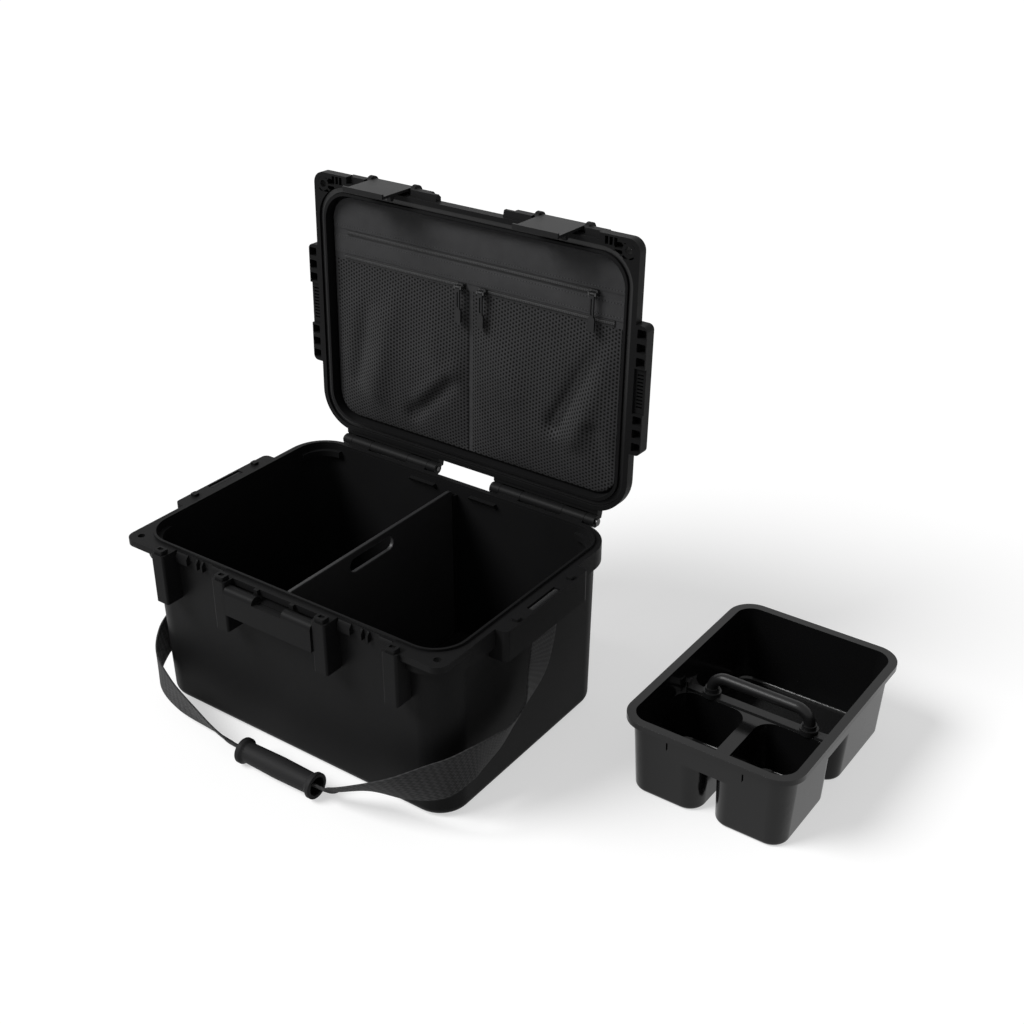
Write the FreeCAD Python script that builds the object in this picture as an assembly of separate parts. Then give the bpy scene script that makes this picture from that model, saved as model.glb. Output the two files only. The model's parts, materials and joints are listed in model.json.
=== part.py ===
import FreeCAD, Part
import math
import os

V = FreeCAD.Vector

# Case tub: outside of the walls at the rim, floor to rim face
case_width = 462.0
case_depth = 322.0
case_height = 227.0
case_draft = 4.0
case_corner = 42.0
wall = 4.0
base_round = 12.0
rim_overhang = 8.0
rim_thick = 8.0
skirt_depth = 24.0
skirt_wall = 4.0
ridge_width = 3.0
ridge_height = 3.0
ledge_drop = 7.0
ledge_place = 43.0

# Front of the case: latch bays between posts, corner ears, front bar
latch_place = 125.5
post_offset = 49.75
post_width = 20.0
post_stand = 23.0
post_length = 66.0
post_boss_height = 5.0
ear_stand = 16.5
ear_corner = 15.0
ear_hole_radius = 4.5
catch_stand = 5.0
catch_height = 13.0
catch_width = 18.0
bar_stand = 25.0
bar_drop = 41.0
bar_roll_radius = 8.0

# Side brackets and the strap bars in them
bracket_stand = 15.0
bracket_half = 81.0
bracket_depth = 39.0
slot_half = 27.0
strap_bar_inset = 7.0
strap_bar_drop = 5.0
strap_bar_radius = 3.0
bar_fit = 0.05

# Hinge between case and lid
hinge_stand = 21.0
hinge_drop = 1.0
hinge_place = 122.0
barrel_radius = 7.5
hinge_pin_radius = 3.0
case_bore_fit = 0.05
lid_bore_fit = 0.06
knuckle_gap = 0.5
web_gap = 1.0
long_knuckle = 62.0
case_knuckle = 32.0
lid_lug = 14.0
lid_open_angle = 91.5

# Lid
seam_gap = 0.6
lid_flange_thick = 13.0
lid_height = 54.4
lid_wall = 3.5
lid_ledge_rise = 15.4
side_flange_thick = 15.4
cell_pitch = 6.0

# Latches
latch_width = 62.0
latch_pivot_stand = 9.0
latch_pivot_rise = 21.0
latch_barrel_radius = 5.5
latch_pin_radius = 2.5
latch_plate_thick = 3.4
latch_plate_stand = 15.0
latch_length = 60.0
draw_bar_radius = 2.2
draw_bar_stand = 8.4
draw_bar_drop = 41.0
pivot_fit = 0.06

# Divider
divider_thick = 5.0
divider_gap = 0.4
divider_floor_gap = 1.0
divider_drop = 5.0
divider_low_inset = 9.0
divider_high_inset = 5.4

# Strap and grip
webbing_width = 50.0
webbing_thick = 3.0
grip_stand = 43.0
grip_z = 16.2
grip_left = -40.0
grip_right = 76.0
grip_radius = 13.5
grip_lip_radius = 16.0
grip_bore = 11.0
folded_width = 18.0
folded_thick = 5.0
strap_steps = 3

# Tray
tray_x = 452.0
tray_y = 157.0
tray_height = 103.5
tray_rim_half_x = 109.5
tray_rim_half_y = 151.0
tray_lip_drop = 7.0
tray_lip_reach = 8.0
tray_wall = 2.5
tray_draft = 5.5
tray_corner = 24.0
partition_top = 68.0
partition_plate = 3.0
partition_width = 17.0
partition_y = -9.0
cup_draft = 1.8
cup_corner = 21.5

# Tray handle
handle_half = 62.5
handle_radius = 7.0
handle_shaft_radius = 4.5
handle_fit = 0.06
handle_bend = 18.0
handle_rise = 28.5
handle_foot = 12.5
collar_radius = 11.0
collar_height = 12.0
handle_base_thick = 2.0
handle_stroke = 32.0
stop_radius = 5.5
stop_thick = 3.0

half_x = case_width / 2
half_y = case_depth / 2
rim_x = half_x + rim_overhang
rim_y = half_y + rim_overhang
rim_corner = case_corner + rim_overhang
seam_z = case_height + seam_gap
post_front = half_y + post_stand
ear_front = half_y + ear_stand
catch_front = half_y + catch_stand
bar_front = half_y + bar_stand
bracket_reach = rim_x + bracket_stand
strap_bar_place = bracket_reach - strap_bar_inset
hinge_y = half_y + hinge_stand
hinge_z = case_height - hinge_drop
latch_pivot_y = half_y + latch_pivot_stand
latch_plate_front = half_y + latch_plate_stand
draw_bar_y = half_y + draw_bar_stand
divider_height = case_height - divider_drop - wall - divider_floor_gap
divider_low_half = half_y - divider_low_inset
divider_high_half = half_y - divider_high_inset
grip_y = half_y + grip_stand
ledge_top = case_height - ledge_drop
strap_bar_z = case_height - strap_bar_drop
latch_pivot_z = case_height + latch_pivot_rise
draw_bar_z = latch_pivot_z - draw_bar_drop


def rounded(hx, hy, radius, z, cx=0.0, cy=0.0):
    """Closed wire of a rectangle with round corners."""
    arcs = []
    for sx, sy, start in ((1, 1, 0), (-1, 1, 90), (-1, -1, 180), (1, -1, 270)):
        centre = V(cx + sx * (hx - radius), cy + sy * (hy - radius), z)
        arcs.append(Part.makeCircle(radius, centre, V(0, 0, 1), start, start + 90))
    edges = []
    for index, arc in enumerate(arcs):
        following = arcs[(index + 1) % 4]
        edges.append(arc)
        start = arc.valueAt(arc.LastParameter)
        end = following.valueAt(following.FirstParameter)
        edges.append(Part.makeLine(start, end))
    return Part.Wire(edges)


def slab(hx, hy, radius, low, high, cx=0.0, cy=0.0):
    return Part.Face(rounded(hx, hy, radius, low, cx, cy)).extrude(V(0, 0, high - low))


def tapered(*sections):
    """Solid through rounded rectangles given from the bottom up."""
    return Part.makeLoft([rounded(*section) for section in sections], True, True)


def block(x0, x1, y0, y1, z0, z1):
    return Part.makeBox(x1 - x0, y1 - y0, z1 - z0, V(x0, y0, z0))


def rod(radius, start, end):
    return Part.makeCylinder(radius, (end - start).Length, start, end - start)


def profile(points, x0, x1):
    """Outline in Y and Z carried along X."""
    corners = [V(x0, y, z) for y, z in points]
    return Part.Face(Part.makePolygon(corners + corners[:1])).extrude(V(x1 - x0, 0, 0))


def mirrored(shape):
    return shape.mirror(V(0, 0, 0), V(1, 0, 0))


def both(shape):
    return [shape, mirrored(shape)]


def join(shapes):
    return shapes[0].multiFuse(list(shapes[1:])).removeSplitter()


def level_edges(shape, z):
    """Edges that lie in the plane at height z."""
    return [e for e in shape.Edges if abs(e.BoundBox.ZMin - z) < 1e-4 and e.BoundBox.ZLength < 1e-4]


def opened(shape):
    """The lid is drawn closed and turned about the hinge to its open stop."""
    turned = shape.copy()
    turned.rotate(V(0, hinge_y, hinge_z), V(1, 0, 0), -lid_open_angle)
    return turned


def wall_half(base, z):
    return base - case_draft * (1 - z / case_height)


# Case tub

def ear_outline(front, low, high):
    """Corner ear at the front of a flange, right side."""
    inner = latch_place + post_offset + post_width / 2
    centre = V(rim_x - ear_corner, ear_corner - front, low)
    lead = V(inner, -front, low)
    bend_start = V(rim_x - ear_corner, -front, low)
    bend_end = V(rim_x, ear_corner - front, low)
    back = V(rim_x, -rim_y + rim_corner, low)
    corner = V(inner, -rim_y + rim_corner, low)
    arc = Part.makeCircle(ear_corner, centre, V(0, 0, 1), 270, 360)
    edges = [Part.makeLine(lead, bend_start), arc, Part.makeLine(bend_end, back)]
    edges += [Part.makeLine(back, corner), Part.makeLine(corner, lead)]
    return Part.Face(Part.Wire(edges)).extrude(V(0, 0, high - low))


def ear_hole(low, high):
    place = V(rim_x - ear_corner, ear_corner - ear_front, low)
    return Part.makeCylinder(ear_hole_radius, high - low, place)


def front_bar():
    inner = latch_place - post_offset - post_width / 2
    low = case_height - bar_drop
    shelf = low + 28.0
    body = block(-inner, inner, -bar_front, -half_y + 1, low, shelf)
    roll_y = -bar_front + bar_roll_radius
    roll = rod(bar_roll_radius, V(22, roll_y, shelf), V(inner, roll_y, shelf))
    nub = block(24, 30, -rim_y - 4, -rim_y + 1, shelf + 7, case_height - 0.1)
    shape = join([body] + both(roll) + both(nub))
    pocket = block(-inner + 8, inner - 8, -bar_front + 4, -half_y - 3.5, low - 1, shelf - 2)
    recess = block(-19, 19, -bar_front + 6, -bar_front + 11, shelf - 1.2, shelf + 1)
    return shape.cut(pocket).cut(recess)


def side_bracket():
    low = case_height - bracket_depth
    centre = half_x - 5 + (bracket_reach - half_x + 5) / 2
    reach = bracket_reach - centre
    body = slab(reach, bracket_half, 7.0, low, case_height, centre)
    boss = slab(4.0, 4.0, 1.0, case_height - 1, case_height + 3, strap_bar_place, 53.0)
    boss_far = slab(4.0, 4.0, 1.0, case_height - 1, case_height + 3, strap_bar_place, -53.0)
    body = join([body, boss, boss_far])
    cuts = [block(strap_bar_place - 4.5, strap_bar_place + 4.5, -slot_half, slot_half,
                  low - 1, case_height + 1)]
    for side in (-1, 1):
        cell = slab(7.0, 20.0, 3.0, low - 1, case_height - 3, strap_bar_place - 4, side * 56.0)
        cuts.append(cell)
    bore = strap_bar_radius + bar_fit
    cuts.append(rod(bore, V(strap_bar_place, -slot_half - 6, strap_bar_z),
                    V(strap_bar_place, slot_half + 6, strap_bar_z)))
    return body.cut(cuts)


def latch_bay():
    """Two wedge catches and two ribs in the bay between two posts."""
    low = case_height - 14.0
    high = low + catch_height
    outline = [(-half_y + 3, low), (-catch_front, low), (-catch_front, high - 4.5),
               (-catch_front + 3.5, high), (-half_y + 3, high)]
    near = latch_place - post_offset + post_width / 2 + 2
    far = latch_place + post_offset - post_width / 2 - 2
    shapes = [profile(outline, near, near + catch_width)]
    shapes.append(profile(outline, far - catch_width, far))
    for offset in (-6.0, 3.0):
        shapes.append(profile(outline, latch_place + offset, latch_place + offset + 3.0))
    return shapes


def hinge_knuckles():
    shapes = []
    outline = [(rim_y - 3, hinge_z - 20), (rim_y - 3, hinge_z + 0.4), (hinge_y, hinge_z + 0.4),
               (hinge_y + 6, hinge_z - 5), (hinge_y - 6, hinge_z - 20)]
    near = long_knuckle / 2 + knuckle_gap
    for start in (hinge_place + near, hinge_place - near - case_knuckle):
        arm = profile(outline, start, start + case_knuckle)
        shapes.append(arm)
        shapes.append(rod(barrel_radius, V(start, hinge_y, hinge_z),
                          V(start + case_knuckle, hinge_y, hinge_z)))
    return shapes


def hinge_bore(fit):
    reach = long_knuckle / 2 + case_knuckle + lid_lug + 3
    return rod(hinge_pin_radius + fit, V(hinge_place - reach, hinge_y, hinge_z),
               V(hinge_place + reach, hinge_y, hinge_z))


def case_tub():
    outer = tapered((half_x - case_draft, half_y - case_draft, case_corner - case_draft, 0),
                    (half_x, half_y, case_corner, case_height))
    outer = outer.makeFillet(base_round, level_edges(outer, 0))
    rim_low = case_height - rim_thick
    skirt_low = case_height - skirt_depth
    outside = [outer, slab(rim_x, rim_y, rim_corner, rim_low, case_height)]
    skirt = slab(rim_x, rim_y, rim_corner, skirt_low, case_height - 1)
    skirt = skirt.cut(slab(rim_x - skirt_wall, rim_y - skirt_wall, rim_corner - skirt_wall,
                           skirt_low - 1, rim_low))
    ear_inner = latch_place + post_offset + post_width / 2
    skirt = skirt.cut(block(-ear_inner, ear_inner, -rim_y - 1, -half_y + 1, skirt_low - 1, rim_low))
    outside.append(skirt)
    outside += both(ear_outline(ear_front, rim_low, case_height))
    outside += both(side_bracket())
    outside.append(front_bar())
    for place in (latch_place - post_offset, latch_place + post_offset):
        middle = (post_front + half_y - 2) / 2
        depth = (post_front - half_y + 2) / 2
        post = slab(post_width / 2, depth, 3.0, case_height - post_length, case_height,
                    place, -middle)
        boss = slab(7.0, 5.5, 2.0, case_height - 1, case_height + post_boss_height,
                    place, -post_front + 7.5)
        boss = boss.cut(slab(3.5, 2.5, 1.0, case_height + post_boss_height - 2,
                             case_height + post_boss_height + 1, place, -post_front + 7.5))
        outside += both(post)
        outside += both(boss)
    shape = join(outside)
    bay_low = latch_place - post_offset + post_width / 2
    bay_high = latch_place + post_offset - post_width / 2
    bay = block(bay_low, bay_high, -rim_y - 1, -half_y - 0.5, rim_low - 1, case_height + 1)
    shape = shape.cut(both(bay))
    for piece in latch_bay():
        shape = shape.multiFuse(both(piece))
    for piece in hinge_knuckles():
        shape = shape.multiFuse(both(piece))
    floor_x = wall_half(half_x, wall) - wall
    floor_y = wall_half(half_y, wall) - wall
    top = case_height + 10
    inner = tapered((floor_x, floor_y, case_corner - case_draft - wall, wall),
                    (wall_half(half_x, top) - wall, wall_half(half_y, top) - wall,
                     case_corner - wall, top))
    inner = inner.makeFillet(base_round - wall, level_edges(inner, wall))
    shape = shape.cut(inner)
    inside = []
    ridge_out = ridge_width / 2 - wall / 2
    ridge = slab(half_x + ridge_out, half_y + ridge_out, case_corner + ridge_out,
                 case_height - 1, case_height + ridge_height)
    ridge = ridge.cut(slab(half_x + ridge_out - ridge_width, half_y + ridge_out - ridge_width,
                           case_corner + ridge_out - ridge_width,
                           case_height - 2, case_height + ridge_height + 1))
    inside.append(ridge)
    for side in (-1, 1):
        inner_y = half_y - wall
        outline = [(side * (inner_y + 1.5), ledge_top - 11), (side * (inner_y - 6.5), ledge_top - 1),
                   (side * (inner_y - 6.5), ledge_top), (side * (inner_y + 1.5), ledge_top)]
        inside += both(profile(outline, 28, 68))
        reach = divider_high_half - 5.1
        guide = [(side * reach, 6), (side * (reach + 3.0), 10), (side * (reach + 5.5), 16),
                 (side * (inner_y + 0.5), ledge_top - 5), (side * reach, ledge_top - 5)]
        near = divider_thick / 2 + divider_gap
        inside += both(profile(guide, near, near + 4.0))
    corner_x = half_x - wall
    corner_y = half_y - wall
    ring = slab(corner_x + 0.5, corner_y + 0.5, case_corner - wall, ledge_top - 8, ledge_top)
    ring = ring.cut(slab(corner_x - 6, corner_y - 6, case_corner - wall - 6,
                         ledge_top - 9, ledge_top + 1))
    for side in (-1, 1):
        low_y, high_y = sorted((side * (half_y - ledge_place), side * (corner_y + 2)))
        inside += both(ring.common(block(half_x - ledge_place, corner_x + 2, low_y, high_y,
                                         ledge_top - 10, ledge_top + 2)))
    shape = shape.multiFuse(inside)
    shape = shape.cut(both(ear_hole(rim_low - 1, case_height + 1)))
    shape = shape.cut(both(hinge_bore(case_bore_fit)))
    return shape.removeSplitter()


def hinge_pins():
    reach = long_knuckle / 2 + knuckle_gap * 2 + case_knuckle + lid_lug
    start = V(hinge_place - reach - 1, hinge_y, hinge_z)
    end = V(hinge_place + reach + 1, hinge_y, hinge_z)
    pin = rod(hinge_pin_radius, start, end)
    head = rod(4.5, end, end + V(2.0, 0, 0))
    return Part.makeCompound(both(join([pin, head])))


def strap_bar():
    return rod(strap_bar_radius, V(strap_bar_place, -slot_half - 5, strap_bar_z),
               V(strap_bar_place, slot_half + 5, strap_bar_z))


def divider_panel():
    low = wall + divider_floor_gap
    high = low + divider_height
    corner = 11.0
    x0 = -divider_thick / 2
    panel = profile([(-divider_low_half, low), (divider_low_half, low),
                     (divider_high_half, high), (-divider_high_half, high)],
                    x0, x0 + divider_thick)
    upright = [e for e in panel.Edges if abs(e.BoundBox.XLength - divider_thick) < 1e-4]
    panel = panel.makeFillet(corner, upright)
    slot_low = high - 27.5
    slot_high = high - 9.0
    round_slot = (slot_high - slot_low) / 2
    middle = slot_low + round_slot
    start = -46.0 + round_slot
    end = 34.0 - round_slot
    hand = block(x0 - 1, x0 + divider_thick + 1, start, end, slot_low, slot_high)
    ends = [rod(round_slot, V(x0 - 1, y, middle), V(x0 + divider_thick + 1, y, middle))
            for y in (start, end)]
    return panel.cut([join([hand] + ends)])


# Lid, drawn closed

def lid_arms():
    shapes = []
    outline = [(rim_y - 5, hinge_z + 6), (rim_y - 5, hinge_z + 14), (rim_y + 3, hinge_z + 14),
               (hinge_y + 7, hinge_z + 3), (hinge_y + 2, hinge_z), (hinge_y - 6, hinge_z + 3.5)]
    inner = long_knuckle / 2 + knuckle_gap * 2 + case_knuckle
    spans = [(hinge_place - long_knuckle / 2, hinge_place + long_knuckle / 2),
             (hinge_place - inner - lid_lug, hinge_place - inner),
             (hinge_place + inner, hinge_place + inner + lid_lug)]
    for start, end in spans:
        arm = profile(outline, start, end)
        barrel = rod(barrel_radius, V(start, hinge_y, hinge_z), V(end, hinge_y, hinge_z))
        shapes += both(arm) + both(barrel)
    edge = hinge_y - barrel_radius - web_gap
    over = hinge_z + barrel_radius + web_gap
    web = profile([(rim_y - 5, hinge_z + 2.5), (edge, hinge_z + 2.5), (edge, over),
                   (hinge_y - 1, over), (hinge_y - 1, over + 3), (rim_y + 3, hinge_z + 14),
                   (rim_y - 5, hinge_z + 14)], spans[1][0], spans[2][1])
    return shapes + both(web)


def lid_ear_pocket():
    """Hollow of the corner ear with a ring round the hole and ribs that fan out from it."""
    place = V(rim_x - ear_corner, ear_corner - ear_front, seam_z)
    depth = lid_flange_thick - 3
    hollow = slab(13.0, 9.0, 6.0, seam_z - 1, seam_z + depth, place.x - 5, place.y + 1)
    keep = [Part.makeCylinder(ear_hole_radius + 4, depth + 1, place - V(0, 0, 1))]
    for turn in (35.0, 90.0, 145.0, 180.0, 225.0):
        rib = block(0, 26, -1.0, 1.0, 0, depth + 1)
        rib.rotate(V(0, 0, 0), V(0, 0, 1), turn)
        rib.translate(place - V(0, 0, 1))
        keep.append(rib)
    fan = hollow.cut(keep)
    cells = []
    for step in range(3):
        start = place.x - 31 + step * cell_pitch
        cells.append(block(start, start + cell_pitch - 1.8, place.y - 12, place.y - 2.5,
                           seam_z - 1, seam_z + depth))
    return join([fan] + cells)


def latch_lugs():
    """Lugs on both sides of a latch and the stepped guards beyond them, right side."""
    shapes = []
    gap = latch_width / 2 + 0.6
    for start in (latch_place - gap - 6, latch_place + gap):
        arm = profile([(-half_y + 2, latch_pivot_z - 11), (-latch_pivot_y - 4, latch_pivot_z - 7),
                       (-latch_pivot_y - 4, latch_pivot_z + 6), (-half_y + 8, latch_pivot_z + 6)],
                      start, start + 6)
        shapes.append(arm)
        shapes.append(rod(9.0, V(start, -latch_pivot_y, latch_pivot_z),
                          V(start + 6, -latch_pivot_y, latch_pivot_z)))
    for start, end, rise in ((-76.0, -63.0, -4.0), (-63.5, -gap - 5.5, 2.0), (gap + 5.5, 63.5, 2.0)):
        front = -rim_y - 7
        clear = case_height + post_boss_height + 1.5
        shapes.append(profile([(-half_y + 2, seam_z + 2), (-rim_y + 0.6, seam_z + 2),
                               (-rim_y + 0.6, clear), (front, clear + 2),
                               (front, latch_pivot_z + rise - 4), (front + 4, latch_pivot_z + rise),
                               (-half_y + 8, latch_pivot_z + rise)],
                              latch_place + start, latch_place + end))
    return shapes


def lid_shell():
    top = seam_z + lid_height
    flange_high = seam_z + lid_flange_thick
    flange = slab(rim_x, rim_y - 0.5, rim_corner, seam_z, flange_high)
    side = slab(bracket_reach, bracket_half - 1, 7.0, seam_z, seam_z + side_flange_thick)
    dome = tapered((half_x + 3, half_y + 2, case_corner, flange_high - 1),
                   (half_x - 17, half_y - 18, case_corner - 8, top - 5),
                   (half_x - 22, half_y - 23, case_corner - 12, top))
    shapes = [flange, side, dome]
    shapes += both(ear_outline(ear_front - 0.5, seam_z, flange_high))
    for piece in latch_lugs():
        shapes += both(piece)
    shape = join(shapes)
    ledge = seam_z + lid_ledge_rise
    lower = slab(half_x - 8.5, half_y - 8.5, case_corner - 5, seam_z - 1, ledge)
    upper = tapered((half_x - 16, half_y - 16, case_corner - 6, ledge - 1),
                    (half_x - 26, half_y - 27, case_corner - 14, top - lid_wall))
    groove = slab(half_x + 1.5, half_y + 1.5, case_corner + 1.5, seam_z - 1, seam_z + 6)
    groove = groove.cut(slab(half_x - 5.5, half_y - 5.5, case_corner - 5.5, seam_z - 2, seam_z + 7))
    deck = slab(half_x - 46, half_y - 46, 30.0, top - 2, top + 1)
    cuts = [lower, upper, groove, deck]
    for y in (36.0, 53.0, 70.0):
        for away in (-1, 1):
            cell = slab(5.7, 5.5, 1.5, seam_z - 1, seam_z + 12, strap_bar_place, away * y)
            cuts += both(cell)
    comb = block(strap_bar_place - 7, bracket_reach + 1, -28, 28, seam_z - 1, seam_z + 3.4)
    cuts += both(comb)
    pitch = 4.4
    for step in range(10):
        place = (step - 4.5) * pitch
        tooth = block(strap_bar_place - 4, strap_bar_place + 4, place - 1.1, place + 1.1,
                      seam_z + 3, seam_z + 11)
        cuts += both(tooth)
    cuts += both(lid_ear_pocket())
    shape = shape.cut(cuts)
    shape = shape.multiFuse(lid_arms())
    bores = both(ear_hole(seam_z - 1, flange_high + 1)) + both(hinge_bore(lid_bore_fit))
    pivot = rod(latch_pin_radius + pivot_fit, V(latch_place - 50, -latch_pivot_y, latch_pivot_z),
                V(latch_place + 50, -latch_pivot_y, latch_pivot_z))
    bores += both(pivot)
    return shape.cut(bores).removeSplitter()


def lid_gasket():
    low = seam_z + 3
    ring = slab(half_x + 0.8, half_y + 0.8, case_corner + 0.8, low, seam_z + 6)
    return ring.cut(slab(half_x - 4.8, half_y - 4.8, case_corner - 4.8, low - 1, seam_z + 7))


panel_low = seam_z + 12.4
panel_x = half_x - 10.7
panel_y = half_y - 10.7
top_zip_x = panel_x - 42.3
left_zip_x = -14.0
right_zip_x = 20.0
top_zip_y = 47.8 - panel_y
top_zip_half = 3.5
pocket_zip_y = 80.3 - panel_y
pocket_zip_half = 4.0


def organiser_panel():
    return slab(panel_x, panel_y, case_corner - 7, panel_low, seam_z + lid_ledge_rise)


def patch(x0, x1, y0, y1, depth):
    """Cloth piece sewn to the panel, cut off at the panel's round corners."""
    cloth = block(x0, x1, y0, y1, panel_low - depth, panel_low)
    field = slab(panel_x - 2, panel_y - 2, case_corner - 8, panel_low - 20, panel_low)
    return cloth.common(field)


def mesh_pocket(x0, x1):
    cx = (x0 + x1) / 2
    hx = (x1 - x0) / 2
    low_y = pocket_zip_y + pocket_zip_half
    high_y = panel_y - 2.3
    cy = (low_y + high_y) / 2
    hy = (high_y - low_y) / 2
    pocket = tapered((hx - 22, hy - 22, 26.0, panel_low - 7.4, cx, cy),
                     (hx - 6, hy - 6, 14.0, panel_low - 5.0, cx, cy),
                     (hx, hy, 8.0, panel_low, cx, cy))
    return pocket.common(slab(panel_x - 2, panel_y - 2, case_corner - 8, panel_low - 20, panel_low))


pull_axis_z = panel_low - 9.4


def zip_slider(x, y):
    body = slab(5.5, 4.0, 1.6, panel_low - 6.6, panel_low - 2.7, x, y)
    lugs = [block(x - 5.5, x - 3.4, y - 2, y + 2, pull_axis_z - 1.6, panel_low - 6),
            block(x + 3.4, x + 5.5, y - 2, y + 2, pull_axis_z - 1.6, panel_low - 6)]
    axle = rod(0.8, V(x - 4, y, pull_axis_z), V(x + 4, y, pull_axis_z))
    return join([body] + lugs + [axle])


def zip_pull(x, y):
    """Loop of cord on the slider's axle with a moulded tab at its end."""
    eye = rod(2.0, V(x - 2.8, y, pull_axis_z), V(x + 2.8, y, pull_axis_z))
    loop = slab(2.6, 14.0, 1.2, pull_axis_z - 1.2, pull_axis_z + 1.2, x, y + 14.5)
    window = slab(1.2, 10.0, 1.0, pull_axis_z - 3, pull_axis_z + 3, x, y + 15.5)
    tab = slab(4.5, 9.0, 2.5, pull_axis_z - 1.5, pull_axis_z + 1.5, x, y + 36.5)
    shape = join([eye, loop.cut(window), tab])
    return shape.cut(rod(1.1, V(x - 4, y, pull_axis_z), V(x + 4, y, pull_axis_z)))


# Latches, drawn closed

def latch_lever(x):
    left = x - latch_width / 2
    right = x + latch_width / 2
    top = latch_pivot_z + 4
    low = top - latch_length - 4
    back = -latch_plate_front + latch_plate_thick
    plate = profile([(-latch_plate_front, low + 2), (-latch_plate_front + 2, low), (back, low),
                     (back, top), (-latch_plate_front + 2, top), (-latch_plate_front, top - 2)],
                    left, right)
    barrel = rod(latch_barrel_radius, V(left, -latch_pivot_y, latch_pivot_z),
                 V(right, -latch_pivot_y, latch_pivot_z))
    shapes = [plate, barrel]
    for start in (left, right - 6):
        shapes.append(profile([(back - 0.5, draw_bar_z - 4), (-draw_bar_y + 2.4, draw_bar_z - 2.4),
                               (-draw_bar_y + 2.4, draw_bar_z + 1.6), (back - 0.5, draw_bar_z + 4.5)],
                              start, start + 6))
    lip = profile([(-latch_plate_front - 3, low), (back, low), (back, low + 4),
                   (-latch_plate_front - 3, low + 2.5)], left, right)
    shape = join(shapes + [lip])
    pin = rod(latch_pin_radius + pivot_fit, V(left - 1, -latch_pivot_y, latch_pivot_z),
              V(right + 1, -latch_pivot_y, latch_pivot_z))
    seat = rod(draw_bar_radius, V(left + 2, -draw_bar_y, draw_bar_z),
               V(right - 2, -draw_bar_y, draw_bar_z))
    return shape.cut([pin, seat])


def latch_draw_bar(x):
    half = latch_width / 2 - 2
    return rod(draw_bar_radius, V(x - half, -draw_bar_y, draw_bar_z),
               V(x + half, -draw_bar_y, draw_bar_z))


def latch_pivot_pin(x):
    half = latch_width / 2 + 6.4
    return rod(latch_pin_radius, V(x - half, -latch_pivot_y, latch_pivot_z),
               V(x + half, -latch_pivot_y, latch_pivot_z))


# Strap

def strap_loop(side):
    """Sewn end of the webbing round the strap bar."""
    x = side * strap_bar_place
    bore = strap_bar_radius + 0.3
    shell = bore + 1.0
    half = webbing_width / 2 + 0.5
    ring = rod(shell, V(x, -half, strap_bar_z), V(x, half, strap_bar_z))
    half_thick = webbing_thick / 2 + 0.6
    low = case_height - bracket_depth
    corners = [(x - shell + 0.2, strap_bar_z), (x - half_thick, strap_bar_z - 18),
               (x - half_thick, low), (x + half_thick, low),
               (x + half_thick, strap_bar_z - 18), (x + shell - 0.2, strap_bar_z)]
    points = [V(px, -half, pz) for px, pz in corners]
    tail = Part.Face(Part.makePolygon(points + points[:1])).extrude(V(0, 2 * half, 0))
    hole = rod(bore, V(x, -half - 1, strap_bar_z), V(x, half + 1, strap_bar_z))
    return join([ring, tail]).cut(hole)


def strap_stations():
    """Middle of the webbing, direction across it, width and thickness, from right to left."""
    low = case_height - bracket_depth + 8
    full = webbing_width
    thick = webbing_thick
    entry = (full + folded_width) / 2
    side = half_x
    front = -half_y
    return [
        (V(strap_bar_place, 0, low), V(0, -1, 0), full, thick),
        (V(side + 17, -5, 160), V(0.05, -1, 0.05), full, thick),
        (V(side + 18, -18, 135), V(0.15, -0.95, 0.2), full, thick),
        (V(side + 20, -45, 106), V(0.47, -0.62, 0.62), full, thick),
        (V(side + 21, -80, 90), V(0.4, -0.3, 0.85), full, thick),
        (V(side + 19, front + 51, 86), V(0.25, -0.1, 0.95), full, thick),
        (V(side + 15, front + 26, 83), V(0.1, 0, 1), full, thick),
        (V(side - 2, front - 5, 73), V(0, 0, 1), full, thick),
        (V(side - 44, front - 27, 55), V(0, -0.45, 0.9), full, thick),
        (V(137, front - 37, 38), V(0, -0.75, 0.66), full * 0.8, thick),
        (V(104, -grip_y, 24), V(0, -0.75, 0.66), entry * 0.7, thick),
        (V(grip_right + 4, -grip_y, grip_z), V(0, -0.7, 0.7), folded_width, folded_thick),
        (V(grip_left - 4, -grip_y, grip_z), V(0, -0.7, 0.7), folded_width, folded_thick),
        (V(-72, -grip_y, 20), V(0, -0.6, 0.8), entry * 0.7, thick),
        (V(-110, front - 39, 27), V(0, -0.4, 0.9), full * 0.8, thick),
        (V(66 - side, front - 32, 37), V(0, -0.15, 1), full, thick),
        (V(23 - side, front - 16, 49), V(0, 0, 1), full, thick),
        (V(-side - 1, front + 17, 62), V(0, 0, 1), full, thick),
        (V(-side - 9, front + 66, 82), V(0, -0.4, 0.9), full, thick),
        (V(-side - 14, -45, 118), V(0, -0.7, 0.7), full, thick),
        (V(-side - 16, -8, 156), V(0, -0.97, 0.25), full, thick),
        (V(-strap_bar_place, 0, low), V(0, -1, 0), full, thick),
    ]


def smooth_between(values, place):
    """Value of an even curve through the stations, at a place counted in stations."""
    index = min(int(place), len(values) - 2)
    t = place - index
    start = values[index]
    end = values[index + 1]
    before = values[max(index - 1, 0)]
    after = values[min(index + 2, len(values) - 1)]
    bend = (before * 2 - start * 5 + end * 4 - after) * (t * t)
    twist = (start * 3 - before - end * 3 + after) * (t * t * t)
    return (start * 2 + (end - before) * t + bend + twist) * 0.5


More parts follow.
